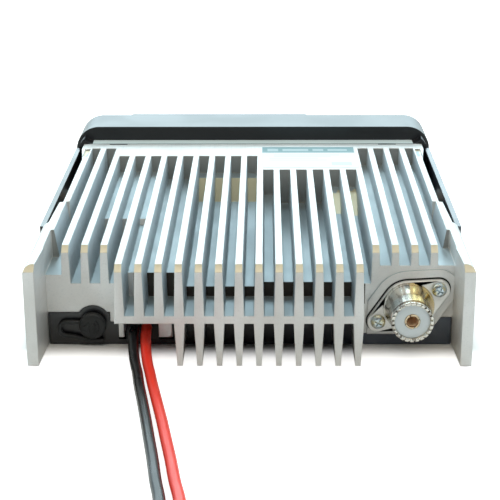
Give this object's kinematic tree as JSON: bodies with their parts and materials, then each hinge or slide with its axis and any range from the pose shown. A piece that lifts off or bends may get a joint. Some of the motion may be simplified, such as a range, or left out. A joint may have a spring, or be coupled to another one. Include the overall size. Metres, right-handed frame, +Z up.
{
  "type": "mobile transceiver",
  "caption": "Vehicle-mounted radio transceiver on its cover, fins up: finned cast chassis, antenna socket, capped speaker jack, power lead, control panel at the front.",
  "frame": {"origin": "middle of the object's footprint, on the surface that the cover rests on, with the radio lying fins up", "axes": "+Z up, away from the cover and along the fins' height; +Y from the rear connectors to the front panel; +X to the right when looking at the rear. In normal use the radio is turned over, with -Z up."},
  "size_m": [0.169, 0.3552, 0.0465],
  "materials": {
    "cast_aluminium": "satin die casting",
    "cover_paint": "gloss black paint",
    "black_screw": "satin",
    "panel_plastic": "satin moulded",
    "zinc_screw": "zinc plated",
    "smoked_window": "clear smoked",
    "lcd_glass": "gloss",
    "white_plastic": "matte",
    "circuit_board": "solder mask",
    "ribbon": "gloss",
    "control_body": "satin",
    "steel_shaft": "turned",
    "knob_plastic": "matte",
    "key_plastic": "matte",
    "power_key_plastic": "satin",
    "socket_plastic": "matte",
    "module_ceramic": "matte",
    "tinned_steel": "satin",
    "copper_wire": "enamelled",
    "cap_sleeve": "gloss",
    "speaker_steel": "satin",
    "black_rubber": "matte",
    "socket_metal": "nickel plated, worn to brass",
    "white_insulator": "waxy",
    "contact_metal": "plated",
    "red_wire": "gloss sleeving",
    "black_wire": "gloss sleeving",
    "plug_nylon": "matte",
    "label_film": "matte film"
  },
  "bodies": {
    "root": {"chassis": "cast_aluminium", "cover": "cover_paint", "cover_screws": "black_screw", "front_panel": "panel_plastic", "panel_screws": "zinc_screw", "display_window": "smoked_window", "lcd_module": "lcd_glass", "lcd_holder": "white_plastic", "control_board": "circuit_board", "panel_ribbon": "ribbon", "volume_pot": "control_body", "channel_encoder": "control_body", "mic_socket": "socket_plastic", "main_board": "circuit_board", "board_screws": "zinc_screw", "power_module": "module_ceramic", "module_screws": "zinc_screw", "shield_can": "tinned_steel", "filter_coils": "copper_wire", "electrolytic_caps": "cap_sleeve", "speaker": "speaker_steel", "speaker_gasket": "black_rubber", "antenna_socket": "socket_metal", "antenna_insulator": "white_insulator", "antenna_contact": "contact_metal", "antenna_gasket": "black_rubber", "antenna_screws": "zinc_screw", "speaker_jack": "socket_plastic", "cap_strap": "black_rubber", "cable_grommet": "black_rubber", "power_lead_red": "red_wire", "power_lead_black": "black_wire", "power_plug": "plug_nylon", "plug_contacts": "contact_metal", "rating_label": "label_film"},
    "volume_control": {"volume_knob": "knob_plastic", "volume_shaft": "steel_shaft"},
    "channel_control": {"channel_knob": "knob_plastic", "channel_shaft": "steel_shaft"},
    "power_button": {"power_key": "power_key_plastic"},
    "function_key_1": {"key_1": "key_plastic"},
    "function_key_2": {"key_2": "key_plastic"},
    "function_key_3": {"key_3": "key_plastic"},
    "function_key_4": {"key_4": "key_plastic"},
    "function_key_5": {"key_5": "key_plastic"},
    "function_key_6": {"key_6": "key_plastic"},
    "cap": {"jack_cap": "black_rubber"}
  },
  "joints": [
    {"name": "volume_turn", "type": "hinge", "parent": "root", "child": "volume_control", "pos_m": [-0.072, 0.098, 0.015], "axis": [0, 1, 0], "range_deg": [-150, 150]},
    {"name": "channel_turn", "type": "hinge", "parent": "root", "child": "channel_control", "pos_m": [0.058, 0.098, 0.024], "axis": [0, 1, 0], "continuous": true},
    {"name": "power_press", "type": "slide", "parent": "root", "child": "power_button", "axis": [0, -1, 0], "range_m": [0, 0.0006], "stiffness_N_per_m": 900, "springref_m": -0.0006},
    {"name": "key_1_press", "type": "slide", "parent": "root", "child": "function_key_1", "axis": [0, -1, 0], "range_m": [0, 0.0006], "stiffness_N_per_m": 900, "springref_m": -0.0006},
    {"name": "key_2_press", "type": "slide", "parent": "root", "child": "function_key_2", "axis": [0, -1, 0], "range_m": [0, 0.0006], "stiffness_N_per_m": 900, "springref_m": -0.0006},
    {"name": "key_3_press", "type": "slide", "parent": "root", "child": "function_key_3", "axis": [0, -1, 0], "range_m": [0, 0.0006], "stiffness_N_per_m": 900, "springref_m": -0.0006},
    {"name": "key_4_press", "type": "slide", "parent": "root", "child": "function_key_4", "axis": [0, -1, 0], "range_m": [0, 0.0006], "stiffness_N_per_m": 900, "springref_m": -0.0006},
    {"name": "key_5_press", "type": "slide", "parent": "root", "child": "function_key_5", "axis": [0, -1, 0], "range_m": [0, 0.0006], "stiffness_N_per_m": 900, "springref_m": -0.0006},
    {"name": "key_6_press", "type": "slide", "parent": "root", "child": "function_key_6", "axis": [0, -1, 0], "range_m": [0, 0.0006], "stiffness_N_per_m": 900, "springref_m": -0.0006},
    {"name": "cap_pull", "type": "slide", "parent": "root", "child": "cap", "axis": [0, -1, 0], "range_m": [0, 0.0135]}
  ]
}
